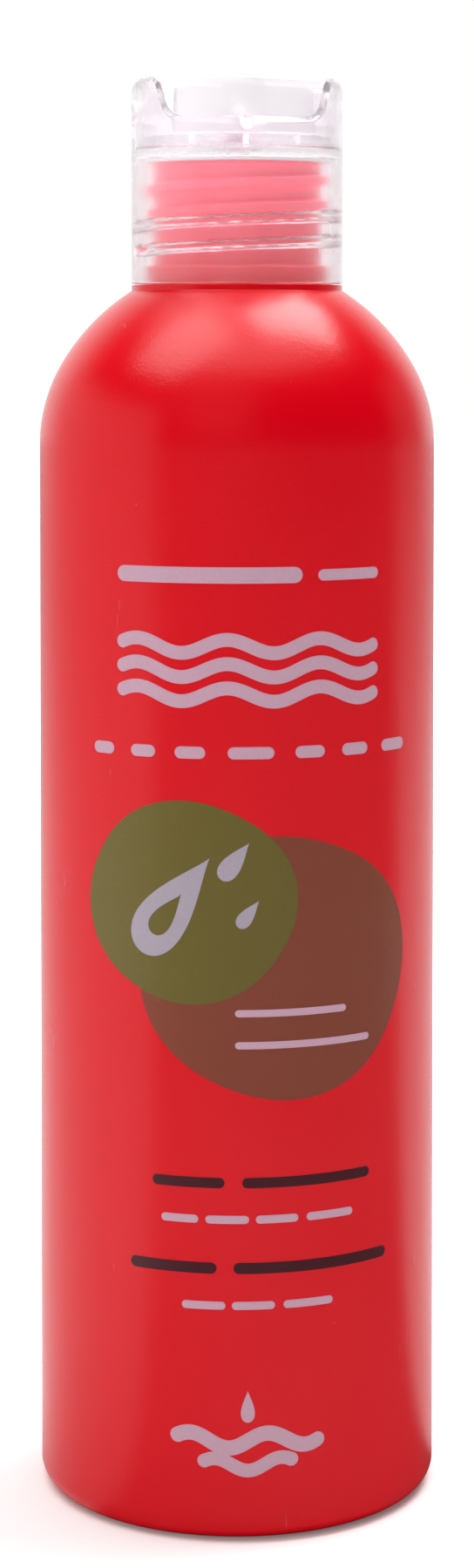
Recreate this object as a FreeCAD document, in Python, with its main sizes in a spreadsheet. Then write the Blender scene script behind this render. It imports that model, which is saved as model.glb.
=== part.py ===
import FreeCAD, Part
import math
import os
import Sketcher

# Round 250 ml shampoo bottle with a 24 mm screw neck and a press-down disc cap.
# Millimetres. Z is up, the foot stands on Z = 0, the axis is X = Y = 0 and the front is -Y.

SIZES = {
    # blown bottle
    "body_r": 25.8,
    "heel_r": 2.9,
    "foot_in_r": 18.5,
    "pushup_z": 2.0,
    "wall_t": 0.9,
    "base_t": 1.3,
    "shoulder_z": 136.12,
    "shoulder_low_r": 21.25,
    "shoulder_deg": 31.15,
    "shoulder_top_r": 28.18,
    # neck finish
    "collar_r": 13.75,
    "collar_z": 156.9,
    "bead_r": 12.0,
    "bead_z": 159.5,
    "neck_r": 10.95,
    "neck_bore_r": 9.3,
    "lip_z": 172.8,
    "lip_bevel": 0.4,
    # screw thread, neck side and cap side
    "thread_pitch": 3.175,
    "neck_thread_z": 166.03,
    "neck_thread_turns": 1.5,
    "neck_crest_r": 11.95,
    "cap_thread_z": 161.53,
    "cap_thread_turns": 1.75,
    "cap_crest_r": 11.15,
    "thread_root_half": 0.95,
    "thread_crest_half": 0.4,
    "ridge_root_half": 0.65,
    "ridge_crest_half": 0.3,
    "thread_sink": 0.25,
    # contents
    "fill_gap": 0.1,
    "fill_z": 132.5,
    # sealing liner
    "liner_gap": 0.05,
    "liner_r": 12.0,
    "liner_hole_r": 4.5,
    # cap body
    "cap_r": 13.75,
    "cap_foot_z": 157.2,
    "cap_top_z": 183.8,
    "cap_edge_r": 1.6,
    "skirt_in_r": 12.25,
    "deck_z": 173.4,
    "deck_t": 1.15,
    "well_r": 12.6,
    "ring_out_r": 11.8,
    "ring_in_r": 11.0,
    "ring_z": 176.2,
    "spout_seat_r": 2.3,
    "spout_seat_z": 176.3,
    "spout_bore_r": 1.1,
    "post_in_x": 10.4,
    "post_out_x": 12.9,
    "post_half": 1.5,
    "post_z": 177.9,
    "gusset_in_r": 9.2,
    "gusset_rise": 1.5,
    "gusset_t": 0.7,
    "gusset_deg": 32.0,
    "notch_top_x": 10.0,
    "notch_foot_x": 8.5,
    "notch_foot_z": 178.5,
    "notch_corner_r": 3.0,
    "notch_bevel": 0.8,
    # press disc
    "pivot_z": 179.5,
    "pin_r": 1.5,
    "pin_gap": 0.05,
    "pin_end_x": 13.25,
    "pin_hole_x": 13.35,
    "lug_in_x": 9.6,
    "lug_t": 2.0,
    "disc_ball_r": 12.45,
    "disc_top_z": 183.4,
    "disc_t": 1.3,
    "panel_foot_z": 176.45,
    "panel_in_r": 11.3,
    "panel_deg": 94.0,
    "nozzle_half": 2.6,
    "nozzle_seat_r": 4.2,
    "nozzle_front_y": 11.7,
    "nozzle_front_drop": 3.05,
    "nozzle_bend_deg": 235.0,
    "duct_r": 0.9,
    "duct_turn_deg": 27.0,
    "duct_drop_deg": 9.0,
    "dip_y": 6.8,
    "dip_ball_r": 14.0,
    "dip_depth": 0.7,
    "join_sink": 0.2,
}


class Size:
    """A number together with the sheet expression that gives it."""

    def __init__(self, text, number):
        self.text = text
        self.number = number

    def joined(self, sign, other, number):
        return Size(f"({self.text} {sign} {size(other).text})", number)

    def __add__(self, other):
        return self.joined("+", other, self.number + size(other).number)

    def __sub__(self, other):
        return self.joined("-", other, self.number - size(other).number)

    def __mul__(self, other):
        return self.joined("*", other, self.number * size(other).number)

    def __neg__(self):
        return Size(f"(-1 * {self.text})", -self.number)


def size(value):
    """A plain number as a Size, or the Size itself."""
    return value if isinstance(value, Size) else Size(str(value), float(value))


def root(value):
    return Size(f"sqrt({value.text})", math.sqrt(value.number))


def cosine(degrees):
    return Size(f"cos({degrees.text} * 1deg)", math.cos(math.radians(degrees.number)))


def sine(degrees):
    return Size(f"sin({degrees.text} * 1deg)", math.sin(math.radians(degrees.number)))


class Named:
    """The sheet's sizes as attributes."""

    def __init__(self, sizes):
        for name, number in sizes.items():
            setattr(self, name, Size(f"dims.{name}", number))


def write_sheet(doc):
    sheet = doc.addObject("Spreadsheet::Sheet", "dims")
    for row, (name, number) in enumerate(SIZES.items(), start=1):
        sheet.set(f"A{row}", name)
        sheet.set(f"B{row}", str(number))
        sheet.setAlias(f"B{row}", name)
    doc.recompute()


def bind(item, path, value):
    """Let the sheet drive one property or constraint."""
    item.setExpression(path, value.text)


def new_body(doc, label):
    body = doc.addObject("PartDesign::Body", label)
    body.Label = label
    return body


def new_sketch(body, name, role, raised=None, turned=None):
    """A sketch on an origin plane, moved by raised (axis letter, Size) and turned by (axis, Size)."""
    sketch = body.newObject("Sketcher::SketchObject", name)
    plane = [f for f in body.Origin.OriginFeatures if f.Role == role][0]
    sketch.AttachmentSupport = [(plane, "")]
    sketch.MapMode = "FlatFace"
    if turned:
        axis, angle = turned
        spin = FreeCAD.Rotation(FreeCAD.Vector(*axis), angle.number)
        sketch.AttachmentOffset = FreeCAD.Placement(FreeCAD.Vector(), spin)
        bind(sketch, "AttachmentOffset.Rotation.Angle", angle)
    if raised:
        letter, height = raised
        bind(sketch, f"AttachmentOffset.Base.{letter}", height)
    return sketch


def hold_point(sketch, edge, end, x, y):
    """Place one end of an edge at x, y from the sketch origin."""
    for kind, value, axis in (("DistanceX", x, -2), ("DistanceY", y, -1)):
        if abs(value.number) < 1e-9:
            sketch.addConstraint(Sketcher.Constraint("PointOnObject", edge, end, axis))
        else:
            rule = Sketcher.Constraint(kind, -1, 1, edge, end, value.number)
            index = sketch.addConstraint(rule)
            bind(sketch, f"Constraints[{index}]", value)


def arc_between(start, end, radius, turn):
    """The short arc of a radius from start to end, turning left (1) or right (-1)."""
    chord = end - start
    middle = (start + end) * 0.5
    off = math.sqrt(max(radius ** 2 - (chord.Length / 2) ** 2, 0.0))
    normal = FreeCAD.Vector(-chord.y, chord.x, 0).normalize()
    centre = middle + normal * (off * turn)
    angles = [math.atan2(p.y - centre.y, p.x - centre.x) for p in (start, end)]
    if turn < 0:
        angles.reverse()
    circle = Part.Circle(centre, FreeCAD.Vector(0, 0, 1), radius)
    return Part.ArcOfCircle(circle, angles[0], angles[1])


def draw_outline(sketch, corners):
    """Close an outline. A corner is (x, y) or (x, y, radius, turn) with the arc that leaves it."""
    points = [FreeCAD.Vector(size(c[0]).number, size(c[1]).number, 0) for c in corners]
    first = len(sketch.Geometry)
    ends = []
    for k, corner in enumerate(corners):
        after = points[(k + 1) % len(points)]
        if len(corner) == 4:
            edge = sketch.addGeometry(arc_between(points[k], after, corner[2].number, corner[3]))
            ends.append((1, 2) if corner[3] > 0 else (2, 1))
        else:
            edge = sketch.addGeometry(Part.LineSegment(points[k], after))
            ends.append((1, 2))
        hold_point(sketch, edge, ends[-1][0], size(corner[0]), size(corner[1]))
    for k, corner in enumerate(corners):
        following = (k + 1) % len(corners)
        pair = (first + k, ends[k][1], first + following, ends[following][0])
        sketch.addConstraint(Sketcher.Constraint("Coincident", *pair))
        if len(corner) == 4:
            index = sketch.addConstraint(Sketcher.Constraint("Radius", first + k, corner[2].number))
            bind(sketch, f"Constraints[{index}]", corner[2])


def draw_circle(sketch, x, y, radius):
    place = FreeCAD.Vector(size(x).number, size(y).number, 0)
    edge = sketch.addGeometry(Part.Circle(place, FreeCAD.Vector(0, 0, 1), radius.number))
    hold_point(sketch, edge, 3, size(x), size(y))
    index = sketch.addConstraint(Sketcher.Constraint("Radius", edge, radius.number))
    bind(sketch, f"Constraints[{index}]", radius)


def turned(doc, body, sketch, name, kind="Revolution"):
    """Revolve or groove a sketch about its own vertical axis."""
    feature = body.newObject(f"PartDesign::{kind}", name)
    feature.Profile = sketch
    feature.ReferenceAxis = (sketch, ["V_Axis"])
    feature.Angle = 360.0
    finish(doc, sketch)
    return feature


def lengthened(doc, body, sketch, name, kind, length, both=False, reverse=False):
    """Pad or pocket a sketch by a length, both ways when both is set."""
    feature = body.newObject(f"PartDesign::{kind}", name)
    feature.Profile = sketch
    bind(feature, "Length", length)
    feature.Midplane = both
    feature.Reversed = reverse
    finish(doc, sketch)
    return feature


def wound(doc, body, sketch, name, pitch, turns):
    """Sweep a sketch up a right-hand helix about the vertical axis."""
    feature = body.newObject("PartDesign::AdditiveHelix", name)
    feature.Profile = sketch
    feature.ReferenceAxis = (sketch, ["V_Axis"])
    feature.Mode = "pitch-turns-angle"
    bind(feature, "Pitch", pitch)
    bind(feature, "Turns", turns)
    feature.LeftHanded = False
    finish(doc, sketch)
    return feature


def finish(doc, sketch):
    sketch.Visibility = False
    doc.recompute()


def shoulder_points(d, inset):
    """The two arcs of the shoulder, moved inward by inset: start, join and the upper centre."""
    low = d.shoulder_low_r - inset
    low_x = d.body_r - d.shoulder_low_r
    across = cosine(d.shoulder_deg)
    along = sine(d.shoulder_deg)
    join = (low_x + low * across, d.shoulder_z + low * along)
    step = d.shoulder_top_r - d.shoulder_low_r
    centre = (low_x - step * across, d.shoulder_z - step * along)
    return low, join, centre


def height_on_arc(centre, radius, x):
    """Height of the upper shoulder arc at a distance x from the axis."""
    gap = x - centre[0]
    return centre[1] + root(radius * radius - gap * gap)


def dome_radius(d):
    """Radius of the shallow dome pushed up into the base."""
    top = (d.foot_in_r.number ** 2 + d.pushup_z.number ** 2) / (2 * d.pushup_z.number)
    text = f"(({d.foot_in_r.text}^2 + {d.pushup_z.text}^2) / (2 * {d.pushup_z.text}))"
    return Size(text, top)


def make_bottle(doc, d):
    """Blown shell with a domed base, a two-arc shoulder, a collar, a bead and a threaded neck."""
    body = new_body(doc, "bottle")
    outer_low, outer_join, outer_centre = shoulder_points(d, 0.0)
    inner_low, inner_join, inner_centre = shoulder_points(d, d.wall_t)
    inner_top = d.shoulder_top_r - d.wall_t
    dome = dome_radius(d)
    heel_x = d.body_r - d.heel_r
    inner_heel = d.heel_r - d.wall_t
    sketch = new_sketch(body, "bottle_section", "XZ_Plane")
    draw_outline(sketch, [
        (0, d.pushup_z, dome, -1),
        (d.foot_in_r, 0),
        (heel_x, 0, d.heel_r, 1),
        (d.body_r, d.heel_r),
        (d.body_r, d.shoulder_z, d.shoulder_low_r, 1),
        (*outer_join, d.shoulder_top_r, 1),
        (d.collar_r, height_on_arc(outer_centre, d.shoulder_top_r, d.collar_r)),
        (d.collar_r, d.collar_z),
        (d.bead_r, d.collar_z),
        (d.bead_r, d.bead_z),
        (d.neck_r, d.bead_z),
        (d.neck_r, d.lip_z - d.lip_bevel),
        (d.neck_r - d.lip_bevel, d.lip_z),
        (d.neck_bore_r, d.lip_z),
        (d.neck_bore_r, height_on_arc(inner_centre, inner_top, d.neck_bore_r), inner_top, -1),
        (*inner_join, inner_low, -1),
        (d.body_r - d.wall_t, d.shoulder_z),
        (d.body_r - d.wall_t, d.base_t + inner_heel, inner_heel, -1),
        (heel_x, d.base_t),
        (d.foot_in_r, d.base_t, dome, 1),
        (0, d.pushup_z + d.base_t),
    ])
    turned(doc, body, sketch, "bottle_shell")
    draw_thread(doc, body, "neck_thread", d, d.neck_r - d.thread_sink, d.neck_crest_r,
                d.neck_thread_z, d.thread_root_half, d.thread_crest_half, d.neck_thread_turns)
    return body


def draw_thread(doc, body, name, d, root_r, crest_r, start_z, root_half, crest_half, turns):
    """A trapezoid ridge wound up the wall from the left-hand side."""
    sketch = new_sketch(body, f"{name}_section", "XZ_Plane")
    draw_outline(sketch, [
        (-root_r, start_z - root_half),
        (-root_r, start_z + root_half),
        (-crest_r, start_z + crest_half),
        (-crest_r, start_z - crest_half),
    ])
    wound(doc, body, sketch, name, d.thread_pitch, turns)


def make_fill(doc, d):
    """The shampoo as one closed solid just clear of the bottle wall."""
    body = new_body(doc, "shampoo_fill")
    dome = dome_radius(d)
    lift = d.base_t + d.fill_gap
    heel_x = d.body_r - d.heel_r
    inner_heel = d.heel_r - d.wall_t - d.fill_gap
    side = heel_x + inner_heel
    sketch = new_sketch(body, "fill_section", "XZ_Plane")
    draw_outline(sketch, [
        (0, d.pushup_z + lift, dome, -1),
        (d.foot_in_r, lift),
        (heel_x, lift, inner_heel, 1),
        (side, lift + inner_heel),
        (side, d.fill_z),
        (0, d.fill_z),
    ])
    turned(doc, body, sketch, "fill_body")
    return body


def make_liner(doc, d):
    """Foam washer between the lip of the neck and the deck of the cap."""
    body = new_body(doc, "sealing_liner")
    sketch = new_sketch(body, "liner_section", "XZ_Plane")
    foot = d.lip_z + d.liner_gap
    top = d.deck_z - d.liner_gap
    draw_outline(sketch, [
        (d.liner_hole_r, foot),
        (d.liner_r, foot),
        (d.liner_r, top),
        (d.liner_hole_r, top),
    ])
    turned(doc, body, sketch, "liner_washer")
    return body


def make_cap(doc, d):
    """Cap body: threaded skirt, deck with spout seat, and the walled well that holds the disc."""
    body = new_body(doc, "cap_body")
    deck_top = d.deck_z + d.deck_t
    edge_x = d.cap_r - d.cap_edge_r
    edge_z = d.cap_top_z - d.cap_edge_r
    reach = d.well_r - edge_x
    sketch = new_sketch(body, "cap_section", "XZ_Plane")
    draw_outline(sketch, [
        (d.skirt_in_r, d.cap_foot_z),
        (d.cap_r, d.cap_foot_z),
        (d.cap_r, edge_z, d.cap_edge_r, 1),
        (d.well_r, edge_z + root(d.cap_edge_r * d.cap_edge_r - reach * reach)),
        (d.well_r, deck_top),
        (d.ring_out_r, deck_top),
        (d.ring_out_r, d.ring_z),
        (d.ring_in_r, d.ring_z),
        (d.ring_in_r, deck_top),
        (d.spout_seat_r, deck_top),
        (d.spout_seat_r, d.spout_seat_z),
        (d.spout_bore_r, d.spout_seat_z),
        (d.spout_bore_r, d.deck_z),
        (d.skirt_in_r, d.deck_z),
    ])
    turned(doc, body, sketch, "cap_shell")
    draw_thread(doc, body, "cap_thread", d, d.skirt_in_r + d.thread_sink, d.cap_crest_r,
                d.cap_thread_z, d.ridge_root_half, d.ridge_crest_half, d.cap_thread_turns)

    # a post on each side under the pivot pin
    post = new_sketch(body, "post_section", "XY_Plane", raised=("z", deck_top - d.join_sink))
    for side in (-1, 1):
        draw_outline(post, [
            (d.post_in_x * side, -d.post_half),
            (d.post_out_x * side, -d.post_half),
            (d.post_out_x * side, d.post_half),
            (d.post_in_x * side, d.post_half),
        ])
    lengthened(doc, body, post, "pivot_posts", "Pad", d.post_z - deck_top + d.join_sink)

    # three triangular gussets inside the front of the ring
    for step, name in ((-1, "left"), (0, "middle"), (1, "right")):
        gusset = new_sketch(body, f"gusset_{name}_section", "YZ_Plane",
                            turned=((0, 1, 0), d.gusset_deg * step))
        draw_outline(gusset, [
            (-d.gusset_in_r, deck_top - d.join_sink),
            (-d.ring_in_r - d.join_sink, deck_top - d.join_sink),
            (-d.ring_in_r - d.join_sink, deck_top + d.gusset_rise),
            (-d.ring_in_r, deck_top + d.gusset_rise),
            (-d.gusset_in_r, deck_top),
        ])
        lengthened(doc, body, gusset, f"gusset_{name}", "Pad", d.gusset_t, both=True)

    # blind holes for the pivot pins
    hole = new_sketch(body, "pin_hole_section", "YZ_Plane")
    draw_circle(hole, 0, d.pivot_z, d.pin_r + d.pin_gap)
    lengthened(doc, body, hole, "pin_holes", "Pocket", d.pin_hole_x * 2, both=True)

    # hollow seat that the round underside of the nozzle slides on
    seat = new_sketch(body, "seat_section", "YZ_Plane")
    draw_circle(seat, 0, d.pivot_z, d.nozzle_seat_r + d.pin_gap)
    lengthened(doc, body, seat, "spout_seat", "Pocket", d.spout_seat_r * 3, both=True)

    # front notch with drafted sides and rounded lower corners, then its outer bevel
    notch = new_sketch(body, "notch_section", "XZ_Plane")
    corner = d.notch_corner_r
    foot_x = d.notch_foot_x - corner
    lean = (d.notch_top_x.number - d.notch_foot_x.number)
    rise = d.cap_top_z.number - d.notch_foot_z.number
    slope = math.degrees(math.atan2(lean, rise))
    side_x = foot_x + corner * round(math.cos(math.radians(slope)), 4)
    side_z = d.notch_foot_z + corner * round(1 - math.sin(math.radians(slope)), 4)
    above = d.cap_top_z + 1
    draw_outline(notch, [
        (-foot_x, d.notch_foot_z),
        (foot_x, d.notch_foot_z, corner, 1),
        (side_x, side_z),
        (d.notch_top_x, above),
        (-d.notch_top_x, above),
        (-side_x, side_z, corner, 1),
    ])
    cut = lengthened(doc, body, notch, "notch", "Pocket", d.cap_r + 1, reverse=True)
    bevel = body.newObject("PartDesign::Chamfer", "notch_bevel")
    bevel.Base = (cut, outer_notch_edges(cut.Shape, d))
    bind(bevel, "Size", d.notch_bevel)
    doc.recompute()
    return body


def outer_notch_edges(shape, d):
    """Names of the notch's edges on the outside of the cap wall, below the rounded top edge."""
    names = []
    edge_z = d.cap_top_z.number - d.cap_edge_r.number
    for index, edge in enumerate(shape.Edges, start=1):
        spots = edge.discretize(5)
        on_wall = all(abs(math.hypot(p.x, p.y) - d.cap_r.number) < 1e-3 for p in spots)
        in_band = all(d.notch_foot_z.number - 0.1 < p.z < edge_z + 1e-3 for p in spots)
        in_front = all(p.y < 0 and abs(p.x) < d.notch_top_x.number + 0.1 for p in spots)
        if on_wall and in_band and in_front:
            names.append(f"Edge{index}")
    return names


def make_disc(doc, d):
    """Rocking disc: round plate, front panel, side pins, and a nozzle with a bent duct."""
    body = new_body(doc, "press_disc")
    ball = d.disc_ball_r
    under_z = d.disc_top_z - d.disc_t

    # plate with a rim that is part of a ball about the pivot, so it clears the well as it rocks
    low = under_z - d.pivot_z
    high = d.disc_top_z - d.pivot_z
    plate = new_sketch(body, "plate_section", "XZ_Plane")
    draw_outline(plate, [
        (0, under_z),
        (root(ball * ball - low * low), under_z, ball, 1),
        (root(ball * ball - high * high), d.disc_top_z),
        (0, d.disc_top_z),
    ])
    turned(doc, body, plate, "plate")

    # curved front panel that closes the notch from inside, on the same ball
    drop = d.panel_foot_z - d.pivot_z
    lap_z = under_z + d.join_sink
    lap = lap_z - d.pivot_z
    panel = new_sketch(body, "panel_section", "YZ_Plane")
    draw_outline(panel, [
        (-d.panel_in_r, d.panel_foot_z),
        (-d.panel_in_r, lap_z),
        (-root(ball * ball - lap * lap), lap_z, ball, 1),
        (-root(ball * ball - drop * drop), d.panel_foot_z),
    ])
    front = turned(doc, body, panel, "front_panel")
    front.Midplane = True
    bind(front, "Angle", d.panel_deg)
    doc.recompute()

    # a lug and a pivot pin on each side
    for side, name in ((-1, "left"), (1, "right")):
        lug = new_sketch(body, f"lug_{name}_section", "YZ_Plane", raised=("z", d.lug_in_x * side))
        draw_outline(lug, [
            (-d.pin_r, d.pivot_z),
            (d.pin_r, d.pivot_z),
            (d.pin_r, lap_z),
            (-d.pin_r, lap_z),
        ])
        lengthened(doc, body, lug, f"lug_{name}", "Pad", d.lug_t, reverse=side < 0)
        pin = new_sketch(body, f"pin_{name}_section", "YZ_Plane", raised=("z", d.lug_in_x * side))
        draw_circle(pin, 0, d.pivot_z, d.pin_r)
        lengthened(doc, body, pin, f"pin_{name}", "Pad", d.pin_end_x - d.lug_in_x, reverse=side < 0)

    # nozzle block: round underside about the pivot, then a bar that runs to the front panel
    seat = d.nozzle_seat_r
    front_z = d.pivot_z - d.nozzle_front_drop
    bend = d.nozzle_bend_deg
    nozzle = new_sketch(body, "nozzle_section", "YZ_Plane")
    draw_outline(nozzle, [
        (-d.nozzle_front_y, lap_z),
        (-d.nozzle_front_y, front_z),
        (seat * cosine(bend), d.pivot_z + seat * sine(bend), seat, 1),
        (seat, d.pivot_z),
        (seat, lap_z),
    ])
    lengthened(doc, body, nozzle, "nozzle", "Pad", d.nozzle_half * 2, both=True)

    # duct: an inlet that meets the cap's bore only when the disc is tipped, and an outlet in front
    inlet = new_sketch(body, "inlet_section", "XY_Plane", raised=("z", d.pivot_z),
                       turned=((1, 0, 0), d.duct_turn_deg))
    draw_circle(inlet, 0, 0, d.duct_r)
    lengthened(doc, body, inlet, "duct_inlet", "Pocket", d.nozzle_seat_r + 1)
    outlet = new_sketch(body, "outlet_section", "XY_Plane", raised=("z", d.pivot_z),
                        turned=((1, 0, 0), d.duct_drop_deg - 90))
    draw_circle(outlet, 0, 0, d.duct_r)
    lengthened(doc, body, outlet, "duct_outlet", "Pocket", d.disc_ball_r + 1)

    # shallow dip for the finger at the back of the plate
    dip = new_sketch(body, "dip_section", "YZ_Plane", raised=("x", d.dip_y))
    above = d.disc_top_z + 1
    dip_r = d.dip_ball_r
    spread = dip_r - d.dip_depth - 1
    draw_outline(dip, [
        (0, d.disc_top_z - d.dip_depth, dip_r, 1),
        (root(dip_r * dip_r - spread * spread), above),
        (0, above),
    ])
    turned(doc, body, dip, "finger_dip", kind="Groove")
    return body


def check(doc, body):
    """Stop if a feature of the body failed or its solid is not sound."""
    for item in [body] + list(body.Group):
        if "Invalid" in item.State or "Error" in item.State:
            raise RuntimeError(f"{body.Label}: {item.Label} is {item.State}")
    shape = body.Shape
    if shape.isNull() or not shape.isValid() or len(shape.Solids) != 1:
        raise RuntimeError(f"{body.Label}: solid is not sound, {len(shape.Solids)} solids")
    box = shape.BoundBox
    print(f"{body.Label}: {shape.Volume / 1000:.3f} ml, z {box.ZMin:.2f} to {box.ZMax:.2f}")


def main():
    doc = FreeCAD.newDocument("shampoo_bottle")
    write_sheet(doc)
    d = Named(SIZES)
    makers = (make_bottle, make_fill, make_liner, make_cap, make_disc)
    bodies = [maker(doc, d) for maker in makers]
    doc.recompute()
    os.makedirs("parts", exist_ok=True)
    for body in bodies:
        body.Placement = FreeCAD.Placement()
        check(doc, body)
        body.Shape.exportStep(f"parts/{body.Label}.step")


main()
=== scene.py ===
"""Round shampoo bottle with a press-disc cap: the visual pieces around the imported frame.

The file is laid out as an add-on: property groups hold the sizes and colours, one operator
builds each piece, a sidebar panel lists them, and main() runs them in order.
Every piece is a surface worked out with numpy on a grid. Lengths are metres.
"""

import math

import bpy
import numpy as np
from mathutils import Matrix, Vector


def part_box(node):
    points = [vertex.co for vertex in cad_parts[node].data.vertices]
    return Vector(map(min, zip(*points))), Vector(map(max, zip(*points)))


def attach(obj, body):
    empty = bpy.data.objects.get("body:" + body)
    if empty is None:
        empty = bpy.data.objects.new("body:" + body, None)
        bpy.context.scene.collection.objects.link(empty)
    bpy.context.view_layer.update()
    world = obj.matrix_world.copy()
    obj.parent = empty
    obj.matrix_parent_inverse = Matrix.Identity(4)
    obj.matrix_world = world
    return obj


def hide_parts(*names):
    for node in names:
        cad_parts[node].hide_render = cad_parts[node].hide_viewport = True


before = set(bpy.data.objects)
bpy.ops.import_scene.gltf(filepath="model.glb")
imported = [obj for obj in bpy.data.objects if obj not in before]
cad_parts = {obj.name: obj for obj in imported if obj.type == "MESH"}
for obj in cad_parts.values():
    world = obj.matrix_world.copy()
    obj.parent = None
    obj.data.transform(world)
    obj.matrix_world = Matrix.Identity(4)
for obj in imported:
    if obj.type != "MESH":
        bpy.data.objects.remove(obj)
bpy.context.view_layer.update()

bl_info = {
    "name": "Shampoo Bottle",
    "version": (1, 0, 0),
    "blender": (4, 5, 0),
    "location": "View3D > Sidebar > Bottle",
    "description": "Round blown bottle, its print, and a translucent press-disc cap",
    "category": "Add Mesh",
}

MM = 0.001
TURN = 2.0 * math.pi
BOTTLE_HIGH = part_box("bottle")[1]
CAP_LOW, CAP_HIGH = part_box("cap_body")
DISC_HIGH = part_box("press_disc")[1]


# ------------------------------------------------------------------ sizes and colours

def length(name, millimetres, text):
    return bpy.props.FloatProperty(name=name, description=text, default=millimetres * MM,
                                   unit="LENGTH")


def number(name, default, text):
    return bpy.props.FloatProperty(name=name, description=text, default=default)


def angle(name, degrees, text):
    return bpy.props.FloatProperty(name=name, description=text, subtype="ANGLE",
                                   default=math.radians(degrees))


def colour(name, default, text):
    return bpy.props.FloatVectorProperty(name=name, description=text, default=default,
                                         subtype="COLOR", size=3, min=0.0, max=1.0)


class BottleSizes(bpy.types.PropertyGroup):
    """Sizes of the blown bottle."""
    body_radius: length("Body radius", BOTTLE_HIGH.x / MM, "Radius of the straight wall")
    heel_radius: length("Heel radius", 2.9, "Rounding between the wall and the foot")
    foot_inner: length("Foot inner radius", 18.5, "Where the pushed-up base begins")
    push_up: length("Push-up", 2.0, "Height of the base's dome")
    wall: length("Wall", 0.9, "Wall thickness")
    floor: length("Floor", 1.3, "Thickness of the base")
    shoulder_start: length("Shoulder start", 136.12, "Top of the straight wall")
    shoulder_low: length("Lower shoulder radius", 21.25, "Radius of the lower arc")
    shoulder_top: length("Upper shoulder radius", 28.18, "Radius of the upper arc")
    shoulder_turn: angle("Shoulder turn", 31.15, "Angle of the lower arc")
    collar_radius: length("Collar radius", 13.75, "Radius of the collar under the cap")
    collar_top: length("Collar top", 157.05, "Height of the collar's top")
    bead_radius: length("Bead radius", 12.0, "Radius of the bead on the neck")
    bead_top: length("Bead top", 159.5, "Height of the bead's top")
    neck_radius: length("Neck radius", 10.95, "Outer radius of the neck")
    bore_radius: length("Bore radius", 9.3, "Inner radius of the neck")
    lip: length("Lip height", BOTTLE_HIGH.z / MM, "Height of the neck's lip")
    pitch: length("Thread pitch", 3.175, "Rise of the thread in one turn")
    thread_start: length("Thread start", 166.03, "Height where the thread begins")
    thread_turns: number("Thread turns", 1.5, "How many turns the thread makes")
    thread_root: length("Thread root", 0.95, "Half width of the thread's foot")
    thread_depth: length("Thread depth", 1.0, "How far the thread stands out")
    seam: length("Seam", 0.035, "Height of the parting line at each side")


class CapSizes(bpy.types.PropertyGroup):
    """Sizes of the cap body."""
    radius: length("Cap radius", 13.75, "Outer radius of the cap")
    foot: length("Cap foot", CAP_LOW.z / MM, "Height of the cap's lower edge")
    top: length("Cap top", CAP_HIGH.z / MM, "Height of the cap's top edge")
    edge: length("Edge radius", 1.6, "Rounding of the top edge")
    skirt_inner: length("Skirt inner radius", 12.25, "Inner radius of the skirt")
    well_radius: length("Well radius", 12.6, "Inner radius of the wall round the disc")
    deck_low: length("Deck underside", 173.4, "Underside of the deck")
    deck_top: length("Deck top", 174.55, "Top of the deck")
    pivot: length("Pivot height", 179.5, "Height of the disc's pivot axis")
    pin_hole: length("Pin hole", 1.55, "Radius of the holes for the disc's pins")
    notch_top: length("Notch top", 10.75, "Half width of the front notch at its top")
    notch_foot: length("Notch foot", 9.4, "Half width of the front notch at its foot")
    ring_outer: length("Ring outer radius", 11.8, "Outer radius of the low ring wall")
    ring_inner: length("Ring inner radius", 11.0, "Inner radius of the low ring wall")
    seat_radius: length("Seat radius", 2.3, "Outer radius of the spout seat")
    seat_top: length("Seat top", 176.2, "Height of the ring wall and the spout seat")
    bore: length("Bore", 1.1, "Radius of the bore through the deck")
    gusset_turn: angle("Gusset turn", 36.0, "Angle between the gussets under the notch")
    thread_start: length("Thread start", 161.53, "Height where the thread begins")
    thread_turns: number("Thread turns", 1.75, "How many turns the thread makes")
    thread_depth: length("Thread depth", 1.05, "How far the thread stands in")


class DiscSizes(bpy.types.PropertyGroup):
    """Sizes of the press disc."""
    ball: length("Ball radius", 12.45, "Radius of the rim and panel about the pivot")
    top: length("Top", DISC_HIGH.z / MM, "Height of the plate's top")
    thickness: length("Thickness", 1.3, "Thickness of the plate")
    panel_foot: length("Panel foot", 176.45, "Lower edge of the front panel")
    panel_inner: length("Panel inner radius", 11.3, "Inner radius of the front panel")
    panel_turn: angle("Panel turn", 94.0, "How far the panel reaches round the front")
    seat: length("Seat radius", 4.2, "Radius of the nozzle's round underside")
    dip_back: length("Dip offset", 6.8, "How far back the finger dip lies")
    dip_ball: length("Dip ball radius", 14.0, "Radius of the finger dip's ball")
    dip_depth: length("Dip depth", 0.7, "Depth of the finger dip")
    pin_radius: length("Pin radius", 1.5, "Radius of the pivot pins and their lugs")
    duct_radius: length("Duct radius", 0.9, "Radius of the bent duct")
    duct_front: angle("Duct front", 81.0, "Angle of the duct's front leg from straight down")
    duct_back: angle("Duct back", -27.0, "Angle of the duct's back leg from straight down")


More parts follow.
